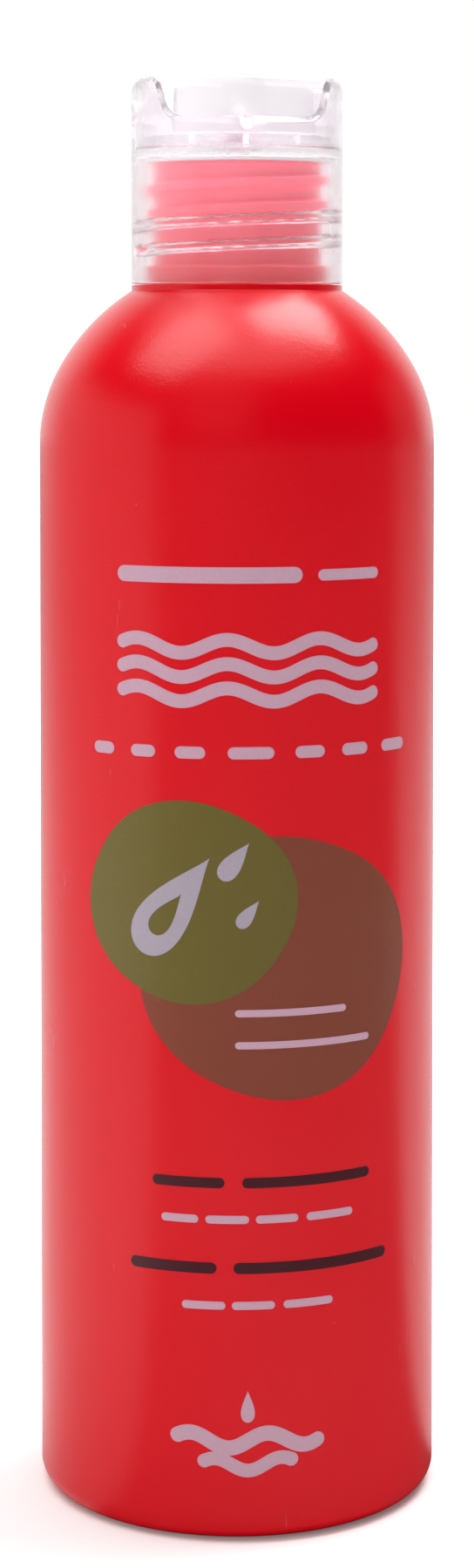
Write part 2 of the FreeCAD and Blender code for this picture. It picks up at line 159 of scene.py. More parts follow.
class PrintColours(bpy.types.PropertyGroup):
    """Colours of the bottle, its ink and the cap."""
    red: colour("Bottle red", (0.735, 0.0, 0.008), "Moulded-in colour of the bottle")
    pale: colour("Pale ink", (0.60, 0.36, 0.46), "Ink of the upper marks")
    grey: colour("Grey ink", (0.42, 0.36, 0.43), "Ink of the drop symbol")
    green: colour("Green ink", (0.16, 0.12, 0.016), "Ink of the smaller round field")
    brown: colour("Brown ink", (0.25, 0.05, 0.022), "Ink of the larger round field")
    dark: colour("Dark ink", (0.075, 0.005, 0.012), "Ink of the dark bars")
    clear: colour("Cap plastic", (1.0, 0.975, 0.995), "Tint of the translucent cap")
    foam: colour("Liner foam", (0.92, 0.92, 0.91), "Colour of the sealing liner")
    shampoo: colour("Shampoo", (0.82, 0.62, 0.38), "Colour of the contents")


class StudioSettings(bpy.types.PropertyGroup):
    """Camera and lights."""
    distance: length("Camera distance", 415, "From the bottle's axis to the camera")
    height: length("Camera height", 151.8, "Camera height above the floor")
    azimuth: angle("Camera azimuth", -5.8, "Turn of the camera round the bottle")
    tilt: angle("Camera tilt", 2.22, "How far the camera looks down")
    lens: number("Lens", 72.7, "Focal length in millimetres")
    shift: number("Shift", -0.2142, "Vertical shift of the frame")
    fill: number("Fill light", 3.0, "Power of the front light in watts")
    overhead: number("Overhead light", 3.6, "Power of the left overhead light in watts")


# ------------------------------------------------------------------ mesh tools

def skin(grid, around=True, ring=False, pole_first=False, pole_last=False):
    """Faces of a grid[row, column] of points. Columns close up when around is set and rows when
    ring is set, and a pole row is one shared vertex, whose squares become triangles."""
    rows, columns = grid.shape[:2]
    index = np.arange(rows * columns).reshape(rows, columns)
    if pole_first:
        index[0, :] = index[0, 0]
    if pole_last:
        index[-1, :] = index[-1, 0]
    if around:
        index = np.hstack([index, index[:, :1]])
    if ring:
        index = np.vstack([index, index[:1]])
    quads = joined(index[:-1, :-1], index[:-1, 1:], index[1:, 1:], index[1:, :-1])
    return grid.reshape(-1, 3), quads.reshape(-1, 4)


def signed_volume(grid, quads):
    """Sum of the signed tetrahedra from the origin to each face: positive when faces point out."""
    a, b, c, d = (grid[quads[:, k]] for k in range(4))
    return float(np.sum(a * np.cross(b, c)) + np.sum(a * np.cross(c, d))) / 6.0


def put_mesh(name, skins, material, closed=True, smooth_angle=40.0):
    """One mesh object from several skins; closed skins are turned so their faces point out."""
    spots, fours, threes, base = [], [], [], 0
    for grid, quads in skins:
        if closed and signed_volume(grid, quads) < 0:
            quads = quads[:, ::-1]
        used, inverse = np.unique(quads, return_inverse=True)
        quads = inverse.reshape(quads.shape) + base
        spots.append(grid[used])
        base += len(used)
        # a square with two corners at a pole is a triangle, and one with more is left out
        same = quads == np.roll(quads, -1, axis=1)
        fours += quads[~same.any(axis=1)].tolist()
        for k in range(4):
            pinched = same[:, k] & (same.sum(axis=1) == 1)
            threes += np.delete(quads[pinched], k, axis=1).tolist()
    mesh = bpy.data.meshes.new(name)
    mesh.from_pydata(np.concatenate(spots).tolist(), [], fours + threes)
    mesh.materials.append(material)
    smooth_shade(mesh, smooth_angle)
    mesh.validate()
    item = bpy.data.objects.new(name, mesh)
    bpy.context.scene.collection.objects.link(item)
    return item


def smooth_shade(mesh, smooth_angle):
    """Smooth shading, with edges past an angle in degrees kept sharp."""
    mesh.shade_smooth()
    mesh.set_sharp_from_angle(angle=math.radians(smooth_angle))


def joined(*coordinates):
    """Points from arrays of their coordinates."""
    return np.stack(coordinates, axis=-1)


def run(start, end, count):
    """Points from start up to but not including end, closer together near both ends."""
    u = 0.5 - 0.5 * np.cos(np.linspace(0.0, math.pi, count + 1)[:-1])
    return np.array(start) + u[:, None] * (np.array(end) - np.array(start))


def arc(centre, radius, start, end, count):
    """Points on a circle from angle start to end in degrees, both ends kept."""
    angles = np.radians(np.linspace(start, end, count + 1))
    return np.array(centre) + radius * joined(np.cos(angles), np.sin(angles))


def rounded(corners, spacing=2.0 * MM, steps=6):
    """A path through corners (x, y, fillet radius). Each inner corner becomes an arc that meets
    both runs; runs get points about spacing apart, gathered near their ends."""
    spots = [np.array(c[:2], float) for c in corners]
    pieces, last = [], spots[0]
    for k in range(1, len(corners) - 1):
        before, here, after = spots[k - 1], spots[k], spots[k + 1]
        fillet = corners[k][2]
        one = (before - here) / np.linalg.norm(before - here)
        two = (after - here) / np.linalg.norm(after - here)
        half = 0.5 * math.acos(float(np.clip(one @ two, -1, 1)))
        back = fillet / math.tan(half)
        enter, leave = here + one * back, here + two * back
        count = max(2, int(np.linalg.norm(enter - last) / spacing))
        pieces.append(run(last, enter, count))
        middle = here + (one + two) / np.linalg.norm(one + two) * fillet / math.sin(half)
        u = np.linspace(0.0, 1.0, steps + 1)[:-1]
        sweep = math.pi - 2 * half
        first, side = enter - middle, leave - middle
        weights = np.stack([np.sin((1 - u) * sweep), np.sin(u * sweep)]) / math.sin(sweep)
        pieces.append(middle + weights[0][:, None] * first + weights[1][:, None] * side)
        last = leave
    count = max(2, int(np.linalg.norm(spots[-1] - last) / spacing))
    pieces.append(run(last, spots[-1], count))
    pieces.append(spots[-1][None, :])
    return np.concatenate(pieces)


def resample(path, count):
    """count points at equal steps of length along a path, both ends kept."""
    steps = np.concatenate([[0.0], np.cumsum(np.linalg.norm(np.diff(path, axis=0), axis=1))])
    where = np.linspace(0.0, steps[-1], count)
    return joined(*(np.interp(where, steps, path[:, k]) for k in range(path.shape[1])))


def lathe(profile, angles, extra=0.0):
    """Points of a profile (radius, height) turned about the axis: x = r cos a, y = r sin a, z = h.
    extra is added to the radius and may change over the whole grid."""
    radius = profile[:, 0][:, None] + extra * np.ones((1, len(angles)))
    height = profile[:, 1][:, None] * np.ones((1, len(angles)))
    return joined(radius * np.cos(angles), radius * np.sin(angles), height)


def thread_ridge(heights, angles, sizes, roots, crest_half, pitch):
    """Height of a helical ridge over a wall: a trapezoid across the helix
    z = start + pitch * turn, begun at the left-hand side and faded out at both ends. roots are
    the half widths of its foot below and above the helix."""
    part = np.mod(angles - math.pi, TURN) / TURN
    ridge = np.zeros((len(heights), len(angles)))
    for lap in range(math.ceil(sizes.thread_turns) + 1):
        turn = part + lap
        ends = np.clip(turn / 0.05, 0, 1) * np.clip((sizes.thread_turns - turn) / 0.05, 0, 1)
        ends = ends * ends * (3 - 2 * ends)
        off = heights[:, None] - (sizes.thread_start + pitch * turn)[None, :]
        root = np.where(off < 0, *roots)
        flank = np.clip((root - np.abs(off)) / (root - crest_half), 0, 1)
        flank = flank * flank * (3 - 2 * flank)
        ridge = np.maximum(ridge, sizes.thread_depth * flank * ends[None, :])
    return ridge


def prism(loop, low, high, bevel, place, steps=1):
    """A closed prism: an outline about its middle is carried from low to high, and drawn in at
    both ends along a quarter round. place(u, v, w) puts outline and travel into space."""
    centre = loop.mean(axis=0)
    away = loop - centre
    reach = np.linalg.norm(away, axis=1)
    quarter = np.linspace(0.0, math.pi / 2, 5)
    inset, offset = bevel * (1 - np.sin(quarter)), bevel * (1 - np.cos(quarter))
    between = np.linspace(low + bevel, high - bevel, steps + 1)[1:-1]
    travel = np.concatenate([[low], low + offset, between, high - offset[::-1], [high]])
    insets = np.concatenate([inset, np.zeros(len(between)), inset[::-1]])
    scale = np.clip(1 - insets[:, None] / reach, 0.0, 1.0)
    scale = np.vstack([np.zeros_like(reach), scale, np.zeros_like(reach)])
    flat = centre + away * scale[..., None]
    along = travel[:, None] * np.ones(len(loop))
    return skin(place(flat[..., 0], flat[..., 1], along), pole_first=True, pole_last=True)


def closed_loop(corners, spacing=0.5 * MM, steps=4):
    """A closed outline through corners (u, v, fillet), begun halfway along its last side."""
    start = tuple((np.array(corners[0][:2]) + np.array(corners[-1][:2])) / 2)
    return rounded([start, *corners, start], spacing, steps)[:-1]


def circle(u, v, radius, count=48):
    """A closed circle: u + r cos a, v + r sin a."""
    a = np.linspace(0.0, TURN, count, endpoint=False)
    return joined(u + radius * np.cos(a), v + radius * np.sin(a))


def along_x(u, v, w):
    return joined(w, u, v)


def combine(item, skins, operation, smooth_angle=40.0):
    """Join closed skins to a piece, or cut them from it, and keep the result as its mesh."""
    for tool_skin in skins:
        tool = put_mesh("tool", [tool_skin], item.data.materials[0])
        step = item.modifiers.new("join", "BOOLEAN")
        step.operation, step.solver, step.object = operation, "MANIFOLD", tool
        seen = bpy.context.evaluated_depsgraph_get()
        mesh = bpy.data.meshes.new_from_object(item.evaluated_get(seen))
        item.modifiers.clear()
        old, item.data = item.data, mesh
        for spare in (old, tool.data):
            bpy.data.meshes.remove(spare)
    smooth_shade(item.data, smooth_angle)
    if len(item.data.polygons) == 0:
        raise RuntimeError(f"{item.name}: joining left nothing")


def finish_piece(item, body, slot_name=None, *stands_for):
    """Ride a body and, when a slot name is given, hide the CAD nodes that the piece stands for."""
    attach(item, body)
    if slot_name:
        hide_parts(*stands_for)


# ------------------------------------------------------------------ shader tools

class Tree:
    """Short calls for building a node tree."""

    def __init__(self, tree):
        self.tree = tree

    def feed(self, node, values):
        """Give a node's inputs, by name or number, their values or links."""
        for key, value in values.items():
            if isinstance(value, bpy.types.NodeSocket):
                self.tree.links.new(value, node.inputs[key])
            else:
                node.inputs[key].default_value = value

    def add(self, kind, inputs=None, **settings):
        node = self.tree.nodes.new(kind)
        for key, value in settings.items():
            setattr(node, key, value)
        self.feed(node, inputs or {})
        return node

    def noise(self, vector, scale, detail=3.0):
        return self.add("ShaderNodeTexNoise", {"Vector": vector, "Scale": scale,
                                               "Detail": detail}).outputs["Fac"]

    def maths(self, operation, one, two, clamp=False):
        return self.add("ShaderNodeMath", {0: one, 1: two}, operation=operation,
                        use_clamp=clamp).outputs[0]

    def spread(self, value, low, high, to_low=0.0, to_high=1.0):
        """A value taken from one range to another through a smooth step."""
        return self.add("ShaderNodeMapRange", {"Value": value, "From Min": low, "From Max": high,
                                               "To Min": to_low, "To Max": to_high},
                        interpolation_type="SMOOTHSTEP").outputs["Result"]

    def blend(self, factor, one, two):
        return self.add("ShaderNodeMix", {0: factor, 6: one, 7: two},
                        data_type="RGBA").outputs[2]

    def bump(self, height, strength, distance):
        return self.add("ShaderNodeBump", {"Height": height, "Strength": strength,
                                           "Distance": distance}).outputs["Normal"]


def new_group(name, inputs, outputs):
    """A shader node group with a vector input and named float sockets: the group, its tree helper
    and its inputs."""
    group = bpy.data.node_groups.new(name, "ShaderNodeTree")
    group.interface.new_socket("Vector", in_out="INPUT", socket_type="NodeSocketVector")
    for label, default in inputs.items():
        socket = group.interface.new_socket(label, in_out="INPUT", socket_type="NodeSocketFloat")
        socket.default_value = default
    for label in outputs:
        group.interface.new_socket(label, in_out="OUTPUT", socket_type="NodeSocketFloat")
    tree = Tree(group)
    return group, tree, tree.add("NodeGroupInput").outputs


def moulded_grain():
    """Fine orange peel of a moulded surface: Height for a bump and Mottle, a slow patchiness."""
    group, tree, given = new_group("moulded_grain", {"Grain": 1.0, "Waviness": 0.3},
                                   ["Height", "Mottle"])
    place = given["Vector"]
    peel = tree.maths("ADD", tree.noise(place, 2600.0, 2.0), tree.noise(place, 900.0, 2.0))
    wave = tree.maths("MULTIPLY", tree.noise(place, 60.0, 1.0), given["Waviness"])
    height = tree.maths("ADD", tree.maths("MULTIPLY", peel, given["Grain"]), wave)
    tree.add("NodeGroupOutput", {"Height": height, "Mottle": tree.noise(place, 45.0, 1.0)})
    return group


def handling_wear():
    """Marks of handling: Scratches, thin broken lines, and Specks, a few grains of dust."""
    group, tree, given = new_group("handling_wear", {"Scratches": 0.5, "Specks": 0.5},
                                   ["Scratches", "Specks"])
    place = given["Vector"]
    turned = tree.add("ShaderNodeMapping", {"Vector": place, "Rotation": (0.5, 0.3, 0.6),
                                            "Scale": (900.0, 60.0, 140.0)}).outputs[0]
    lines = tree.spread(tree.noise(turned, 1.0, 2.0), 0.72, 0.78)
    patches = tree.spread(tree.noise(place, 90.0, 1.0), 0.5, 0.62)
    cells = tree.add("ShaderNodeTexVoronoi", {"Vector": place, "Scale": 260.0})
    near = tree.spread(cells.outputs["Distance"], 0.045, 0.02)
    chosen = tree.spread(tree.noise(place, 200.0, 0.0), 0.6, 0.66)
    worn = tree.maths("MULTIPLY", tree.maths("MULTIPLY", lines, patches), given["Scratches"])
    dust = tree.maths("MULTIPLY", tree.maths("MULTIPLY", near, chosen), given["Specks"])
    tree.add("NodeGroupOutput", {"Scratches": worn, "Specks": dust})
    return group


def new_material(name):
    """A material with a Principled shader, its tree helper and Object coordinates."""
    material = bpy.data.materials.new(name)
    material.use_nodes = True
    tree = Tree(material.node_tree)
    shader = material.node_tree.nodes["Principled BSDF"]
    place = tree.add("ShaderNodeTexCoord").outputs["Object"]
    return material, tree, shader, place


def use_group(tree, build, vector, **values):
    """The outputs of a shader node group, which is built the first time it is used."""
    group = bpy.data.node_groups.get(build.__name__) or build()
    return tree.add("ShaderNodeGroup", {"Vector": vector, **values}, node_tree=group).outputs


def tint(colour_value, factor):
    """A colour made lighter or darker, with alpha."""
    return tuple(min(1.0, c * factor) for c in colour_value) + (1.0,)


def moulded_material(name, base, neck_from):
    """Satin moulded plastic: nearly even colour, faint scratches and dust, and a painted glow on
    the neck: its colour is painted paler and it gives off a little light towards the lip, standing
    in for light that comes through it."""
    material, tree, shader, place = new_material(name)
    grain = use_group(tree, moulded_grain, place, Grain=1.0, Waviness=0.5)
    wear = use_group(tree, handling_wear, place, Scratches=0.4, Specks=0.4)
    marked = tree.maths("ADD", wear["Scratches"], wear["Specks"], clamp=True)
    patchy = tree.blend(grain["Mottle"], tint(base, 0.98), tint(base, 1.02))
    whole = tree.blend(marked, patchy, tuple(0.85 * c + 0.09 for c in base) + (1.0,))
    # painted light: the neck is painted paler towards the lip and made to glow faintly, standing in
    # for light coming through its thin wall
    height = tree.add("ShaderNodeSeparateXYZ", {0: place}).outputs["Z"]
    painted_neck_glow = tree.maths("MULTIPLY", tree.spread(height, neck_from, neck_from + 1 * MM),
                      tree.spread(height, neck_from - 4 * MM, neck_from + 15 * MM))
    uneven = tree.spread(grain["Mottle"], 0.3, 0.7, 0.235, 0.265)
    tree.feed(shader, {
        # painted light: a paler neck colour and a faint glow, though the neck is no lamp
        "Base Color": tree.blend(painted_neck_glow, whole, (1.0, 0.18, 0.24, 1.0)),
        "Roughness": tree.maths("ADD", uneven, tree.maths("MULTIPLY", marked, 0.1)),
        "Emission Color": tree.blend(painted_neck_glow, (0.0, 0.0, 0.0, 1.0), (1.0, 0.16, 0.24, 1.0)),
        "Emission Strength": 0.22, "Specular IOR Level": 0.42,
        "Normal": tree.bump(grain["Height"], 0.07, 0.25 * MM)})
    return material


def ink_material(name, base):
    """Screen-printed ink: a fine screen weave in its colour and a drier sheen than the plastic."""
    material, tree, shader, place = new_material(name)
    grain = use_group(tree, moulded_grain, place, Grain=1.2, Waviness=0.2)
    weave = tree.noise(place, 3600.0, 1.0)
    tree.feed(shader, {
        "Base Color": tree.blend(weave, tint(base, 0.93), tint(base, 1.06)),
        "Roughness": tree.spread(grain["Mottle"], 0.3, 0.7, 0.38, 0.47),
        "Normal": tree.bump(grain["Height"], 0.15, 0.2 * MM)})
    return material


def clear_material(name, base, rough, clearness):
    """Translucent polypropylene: glass-like, with a milky share, and light let through it."""
    material, tree, shader, place = new_material(name)
    grain = use_group(tree, moulded_grain, place, Grain=0.6, Waviness=1.2)
    wear = use_group(tree, handling_wear, place, Scratches=0.5, Specks=0.3)
    uneven = tree.spread(grain["Mottle"], 0.3, 0.7, rough - 0.02, rough + 0.03)
    tree.feed(shader, {
        "Base Color": tree.blend(grain["Mottle"], tint(base, 0.98), tint(base, 1.0)),
        "Roughness": tree.maths("ADD", uneven, tree.maths("MULTIPLY", wear["Scratches"], 0.15)),
        "Transmission Weight": clearness, "IOR": 1.42, "Specular IOR Level": 0.25,
        "Normal": tree.bump(grain["Height"], 0.1, 0.2 * MM)})
    path = tree.add("ShaderNodeLightPath").outputs
    passing = tree.maths("MAXIMUM", path["Is Shadow Ray"], path["Is Diffuse Ray"])
    through = tree.add("ShaderNodeBsdfTransparent", {"Color": tint(base, 1.0)})
    mix = tree.add("ShaderNodeMixShader", {0: passing, 1: shader.outputs[0],
                                           2: through.outputs[0]})
    tree.feed(tree.tree.nodes["Material Output"], {"Surface": mix.outputs[0]})
    return material


# ------------------------------------------------------------------ bottle

def shoulder_arcs(sizes, inset):
    """The two arcs of the shoulder moved inward by inset: lower centre and upper centre, each as
    (r, z), with their radii. The upper centre lies back along the join's radius."""
    low_centre = np.array([sizes.body_radius - sizes.shoulder_low, sizes.shoulder_start])
    along = np.array([math.cos(sizes.shoulder_turn), math.sin(sizes.shoulder_turn)])
    top_centre = low_centre - along * (sizes.shoulder_top - sizes.shoulder_low)
    return low_centre, sizes.shoulder_low - inset, top_centre, sizes.shoulder_top - inset


def dome(sizes, lift, count):
    """Points of the shallow dome in the base, from the axis out to the foot."""
    radius = (sizes.foot_inner ** 2 + sizes.push_up ** 2) / (2 * sizes.push_up)
    r = np.linspace(0.0, sizes.foot_inner - 1.2 * MM, count)
    drop = radius - np.sqrt(radius ** 2 - r ** 2)
    return joined(r, sizes.push_up - drop + lift)


def bottle_profile(sizes):
    """The closed half-section of the bottle from the middle of the base, out round the foot, up
    the wall and shoulder, over the lip, and down inside to the middle of the floor."""
    low, low_r, top, top_r = shoulder_arcs(sizes, 0.0)
    turn = math.degrees(sizes.shoulder_turn)
    body, heel, collar, neck = (sizes.body_radius, sizes.heel_radius, sizes.collar_radius,
                                sizes.neck_radius)
    reach = math.degrees(math.acos((collar + 0.25 * MM - top[0]) / top_r))
    foot_edge = body - heel
    outside = [
        dome(sizes, 0.0, 24),
        rounded([(sizes.foot_inner - 0.6 * MM, 0.09 * MM), (sizes.foot_inner, 0.0, 0.5 * MM),
                 (foot_edge, 0.0)]),
        arc((foot_edge, heel), heel, -84, 0, 14),
        run((body, heel + 0.3 * MM), low + (low_r, 0.0), 40),
        arc(low, low_r, 0, turn, 22),
        arc(top, top_r, turn, reach, 40)[1:],
    ]
    start = outside[-1][-1]
    thread_foot = sizes.bead_top + 1.0 * MM
    finish = rounded([
        tuple(start), (collar, start[1] + 0.15 * MM, 0.12 * MM),
        (collar, sizes.collar_top, 0.08 * MM), (sizes.bead_radius, sizes.collar_top, 0.2 * MM),
        (sizes.bead_radius, sizes.bead_top, 0.35 * MM), (neck, sizes.bead_top, 0.3 * MM),
        (neck, thread_foot)], spacing=0.4 * MM)[1:]
    heights = np.linspace(thread_foot, sizes.lip - 1.0 * MM, 84)[1:]
    threaded = joined(np.full_like(heights, neck), heights)
    in_low, in_low_r, in_top, in_top_r = shoulder_arcs(sizes, sizes.wall)
    bore_turn = math.acos((sizes.bore_radius + 0.2 * MM - in_top[0]) / in_top_r)
    bore_foot = in_top[1] + in_top_r * math.sin(bore_turn)
    lip = rounded([
        (neck, sizes.lip - 0.9 * MM), (neck, sizes.lip, 0.4 * MM),
        (sizes.bore_radius, sizes.lip, 0.3 * MM), (sizes.bore_radius, bore_foot + 0.3 * MM)],
        spacing=0.8 * MM)
    inner_heel = heel - sizes.wall
    inside = [
        arc(in_top, in_top_r, math.degrees(bore_turn), turn, 30),
        arc(in_low, in_low_r, turn, 0, 16)[1:],
        run((body - sizes.wall, sizes.shoulder_start - 2 * MM),
            (body - sizes.wall, sizes.floor + inner_heel), 16),
        arc((foot_edge, sizes.floor + inner_heel), inner_heel, 0, -90, 8),
        dome(sizes, sizes.floor, 16)[::-1],
    ]
    return np.concatenate(outside + [finish, threaded, lip] + inside)


class SHAMPOO_OT_bottle(bpy.types.Operator):
    """Blown bottle: its half-section is turned about the axis, r = profile + thread + seam."""
    bl_idname = "shampoo.bottle"
    bl_label = "Build the bottle"

    def execute(self, context):
        sizes = context.scene.bottle_sizes
        profile = bottle_profile(sizes)
        angles = np.linspace(0.0, TURN, 240, endpoint=False)
        ridge = thread_ridge(profile[:, 1], angles, sizes, (sizes.thread_root,) * 2, 0.4 * MM,
                             sizes.pitch)
        on_neck = np.abs(profile[:, 0] - sizes.neck_radius) < 0.01 * MM
        # the parting line of the two mould halves runs up each side of the outer wall
        near = np.exp((np.abs(np.cos(angles)) - 1.0) * 9000.0)
        outer = (np.arange(len(profile)) < np.argmax(on_neck)) & (profile[:, 0] > 3 * MM)
        seam = sizes.seam * near[None, :] * outer[:, None]
        grid = lathe(profile, angles, ridge * on_neck[:, None] + seam)
        red = moulded_material("red_polyethylene", context.scene.print_colours.red,
                               sizes.collar_top)
        shell = put_mesh("bottle_shell", [skin(grid, pole_first=True, pole_last=True)], red)
        finish_piece(shell, "bottle", "bottle_red", "bottle")
        return {"FINISHED"}


# ------------------------------------------------------------------ print

# turn of the print from straight ahead, thickness of one layer of ink, and how far a film
# reaches into the wall
PRINT_TURN = math.radians(-2.8)
INK = 0.03 * MM
SUNK = 0.05 * MM


def on_wall(flat, radius):
    """Wrap flat label points (across, up) in millimetres round the wall: angle = across / r."""
    angle = PRINT_TURN - math.pi / 2 + flat[..., 0] * MM / radius
    return joined(radius * np.cos(angle), radius * np.sin(angle), flat[..., 1] * MM)


def disc_film(outline, centre, body_radius, layer, hole=None):
    """A closed film with a round-going outline: rings shrink from the outline to the centre, or to
    the hole's outline, and the film's two faces meet at the edge and at the centre or hole."""
    share = np.linspace(1.0, 0.0, 14)[:, None, None]
    inner = np.array(centre)[None, None, :] if hole is None else hole[None, :, :]
    flat = inner + (outline[None, :, :] - inner) * share
    faces = np.concatenate([on_wall(flat, body_radius + INK * layer)[::-1],
                            on_wall(flat, body_radius - SUNK)])
    if hole is None:
        return skin(faces, pole_first=True, pole_last=True)
    return skin(faces, ring=True)


def stroke_film(ends, middle, half, radius, layer=1.0, height=0.0, waves=0.0, count=120):
    """A closed film of even width along middle + height * sin(2 pi waves u), from one end to the
    other. The strip across it narrows as a half circle at both ends."""
    u = 0.5 - 0.5 * np.cos(np.linspace(0.0, math.pi, count))
    line = joined(ends[0] + (ends[1] - ends[0]) * u, middle + height * np.sin(TURN * waves * u))
    slope = np.gradient(line, axis=0)
    slope = slope / np.linalg.norm(slope, axis=1)[:, None]
    normal = joined(-slope[:, 1], slope[:, 0])
    gone = np.concatenate([[0.0], np.cumsum(np.linalg.norm(np.diff(line, axis=0), axis=1))])
    near = np.clip(np.minimum(gone, gone[-1] - gone) / half, 0, 1)
    narrow = np.sqrt(np.clip(1 - (1 - near) ** 2, 0.0, 1))
    across = np.linspace(-1.0, 1.0, 9)
    flat = line[:, None] + (half * narrow)[:, None, None] * across[:, None] * normal[:, None]
    faces = np.concatenate([on_wall(flat, radius + INK * layer),
                            on_wall(flat[:, ::-1], radius - SUNK)], axis=1)
    return skin(faces, pole_first=True, pole_last=True)


def drop_outline(x, y, size, lean, count=96):
    """A water drop: a circle drawn to a point at the top, x = sin(a) sin(a/2)^1.5, leaned over."""
    a = np.linspace(0.0, TURN, count, endpoint=False)
    flat_x = size * 0.62 * np.sin(a) * np.sin(a / 2) ** 1.5
    flat_y = size * np.cos(a)
    c, s = math.cos(lean), math.sin(lean)
    return joined(x + c * flat_x - s * flat_y, y + s * flat_x + c * flat_y)


def field_outline(x, y, wide, high, squareness, lean, count=144):
    """A soft-cornered round field: a superellipse |x|^n + |y|^n = 1, leaned over and then
    brought to its width and height."""
    a = np.linspace(0.0, TURN, count * 4, endpoint=False)
    power = 2.0 / squareness
    flat_x, flat_y = (np.sign(f) * np.abs(f) ** power for f in (np.cos(a), np.sin(a)))
    c, s = math.cos(lean), math.sin(lean)
    turned = joined(c * flat_x - s * flat_y, s * flat_x + c * flat_y)
    turned = turned / turned.max(axis=0) * (wide / 2, high / 2) + (x, y)
    return resample(np.concatenate([turned, turned[:1]]), count + 1)[:-1]


def print_piece(name, films, material):
    """A printed piece that rides on the bottle."""
    finish_piece(put_mesh(name, films, material), "bottle")


def bars(rows, radius, layer=1.0):
    """Films for round-ended bars given as (left, right, middle height, thickness)."""
    return [stroke_film((x0, x1), middle, thick / 2, radius, layer, count=40)
            for x0, x1, middle, thick in rows]


class SHAMPOO_OT_fields(bpy.types.Operator):
    """Two overlapping round fields of ink: superellipse outlines filled by shrinking rings."""
    bl_idname = "shampoo.fields"
    bl_label = "Print the round fields"

    def execute(self, context):
        radius = context.scene.bottle_sizes.body_radius
        colours = context.scene.print_colours
        for name, ink, x, y, wide, high, lean, layer in (
                ("large", "brown", 4.6, 72.1, 37.3, 33.0, -25, 0.6),
                ("small", "green", -7.8, 80.3, 28.3, 25.4, -30, 1.2)):
            outline = field_outline(x, y, wide, high, 2.2, math.radians(lean))
            print_piece(f"print_{name}_field", [disc_film(outline, (x, y), radius, layer)],
                        ink_material(f"{ink}_ink", getattr(colours, ink)))
        return {"FINISHED"}


class SHAMPOO_OT_symbol(bpy.types.Operator):
    """Drop symbol in the smaller field: a ring between two drop outlines, with two small drops."""
    bl_idname = "shampoo.symbol"
    bl_label = "Print the drop symbol"

    def execute(self, context):
        radius = context.scene.bottle_sizes.body_radius
        lean, layer = math.radians(-38), 1.8
        hole = drop_outline(-10.3, 78.8, 3.2, lean)
        films = [disc_film(drop_outline(x, y, size, lean), (x, y), radius, layer, inner)
                 for x, y, size, inner in ((-9.4, 80.0, 7.6, hole), (-1.6, 85.6, 2.9, None),
                                           (0.1, 79.0, 2.1, None))]
        print_piece("print_drop_symbol", films,
                    ink_material("grey_ink", context.scene.print_colours.grey))
        return {"FINISHED"}


class SHAMPOO_OT_marks(bpy.types.Operator):
    """Plain marks in rows: round-ended bars, a band of waves and an emblem of waves and a drop."""
    bl_idname = "shampoo.marks"
    bl_label = "Print the marks"

    def execute(self, context):
        radius = context.scene.bottle_sizes.body_radius
        pale = ink_material("pale_ink", context.scene.print_colours.pale)
        dark = ink_material("dark_ink", context.scene.print_colours.dark)
        dashes = ((-21.1, -17.8), (-15.2, -11.8), (-9.2, -5.3), (-2.5, 3.3), (6.0, 9.9),
                  (12.4, 16.3), (18.8, 23.2))
        upper = [(-17.2, 6.9, 121.0, 2.0), (9.0, 18.1, 120.9, 1.4)]
        upper += [(*ends, 99.0, 1.5) for ends in dashes]
        print_piece("print_upper_bars", bars(upper, radius), pale)
        waves = [stroke_film((-17.2, 18.0), z, 0.85, radius, height=0.85, waves=3.0)
                 for z in (106.2, 109.2, 112.2)]
        print_piece("print_wave_band", waves, pale)
        on_field = [(-1.6, 13.0, 66.6, 0.9), (-1.6, 16.6, 62.6, 0.9)]
        print_piece("print_field_bars", bars(on_field, radius, 1.4), pale)
        lower = [(*ends, 40.8, 1.0) for ends in ((-11.0, -6.2), (-5.3, 0.15), (1.0, 6.4),
                                                 (7.5, 14.0))]
        lower += [(*ends, 30.0, 1.0) for ends in ((-8.3, -2.8), (-2.0, 3.4), (4.5, 11.1))]
        print_piece("print_lower_bars", bars(lower, radius), pale)
        heavy = [(-12.2, -2.9, 45.4, 1.3), (-0.7, 16.7, 45.4, 1.3), (-15.3, -3.9, 34.7, 1.4),
                 (-1.8, 19.6, 34.7, 1.4)]
        print_piece("print_dark_bars", bars(heavy, radius), dark)
        emblem = [stroke_film((-9.7, 9.8), 13.0, 0.95, radius, height=0.9, waves=2.0),
                  stroke_film((-6.2, 6.3), 10.0, 0.85, radius, height=0.75, waves=1.5),
                  disc_film(drop_outline(0.0, 17.3, 2.0, 0.0), (0.0, 17.0), radius, 1.0)]
        print_piece("print_emblem", emblem, pale)
        return {"FINISHED"}


# ------------------------------------------------------------------ cap

def notch_paths(cap, count):
    """Inner and outer outline of the front notch as (across, height), from left to right. The
    inner foot is level, the outer foot sags, and both top corners are rolled over."""
    top, foot = cap.top, cap.pivot - 0.95 * MM
    half = [(12.3 * MM, top), (cap.notch_top, top, 1.3 * MM), (cap.notch_foot, foot, 2.3 * MM)]
    inner = rounded(both_sides(half), spacing=0.25 * MM, steps=10)
    half = [(13.3 * MM, top), (cap.notch_top + 0.85 * MM, top, 1.4 * MM),
            (cap.notch_foot + 0.7 * MM, foot - 0.6 * MM, 2.8 * MM)]
    outer = rounded(both_sides(half, (0.0, foot - 1.6 * MM, 40 * MM)), spacing=0.25 * MM, steps=10)
    # a small nick in the middle of the inner foot
    inner[:, 1] -= 0.4 * MM * np.clip(1 - np.abs(inner[:, 0]) / (0.9 * MM), 0, 1)
    return resample(inner, count), resample(outer, count)


def both_sides(half, *middle):
    """Corners of the right half mirrored to the left, with any middle corners between them."""
    return [(-x, *rest) for x, *rest in half] + list(middle) + half[::-1]


